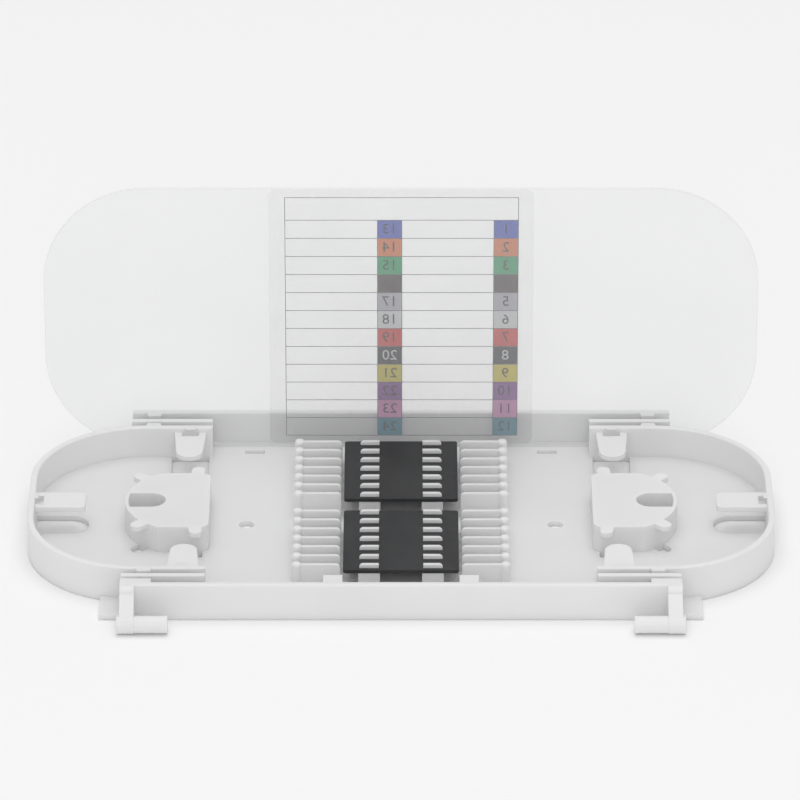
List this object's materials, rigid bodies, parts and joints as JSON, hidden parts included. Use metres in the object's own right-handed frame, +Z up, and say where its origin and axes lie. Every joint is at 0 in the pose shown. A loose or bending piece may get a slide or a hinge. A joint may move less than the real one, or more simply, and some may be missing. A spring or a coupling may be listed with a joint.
{
  "type": "fibre splice tray",
  "caption": "Moulded fibre splice tray with rounded storage ends, hubs, a splice comb under two lift-off retainer plates, and a labelled translucent lid stood in its rear channel.",
  "frame": {"origin": "middle of the tray's underside", "axes": "+X along the tray, +Y to the side where the lid stands, +Z up"},
  "size_m": [0.172, 0.0961, 0.0685],
  "materials": {
    "tray_white": "smooth satin moulded white plastic",
    "retainer_dark": "dark grey matte plastic sheet",
    "lid_clear": "frosted translucent plastic sheet",
    "label_film": "printed translucent film"
  },
  "bodies": {
    "tray_body": {"tray": "tray_white", "lid": "lid_clear", "lid_label": "label_film"},
    "rear_plate": {"rear_retainer": "retainer_dark"},
    "front_plate": {"front_retainer": "retainer_dark"}
  },
  "joints": [
    {"name": "rear_retainer_lift", "type": "slide", "parent": "tray_body", "child": "rear_plate", "axis": [0, 0, 1], "range_m": [0, 0.006]},
    {"name": "front_retainer_lift", "type": "slide", "parent": "tray_body", "child": "front_plate", "axis": [0, 0, 1], "range_m": [0, 0.006]}
  ]
}
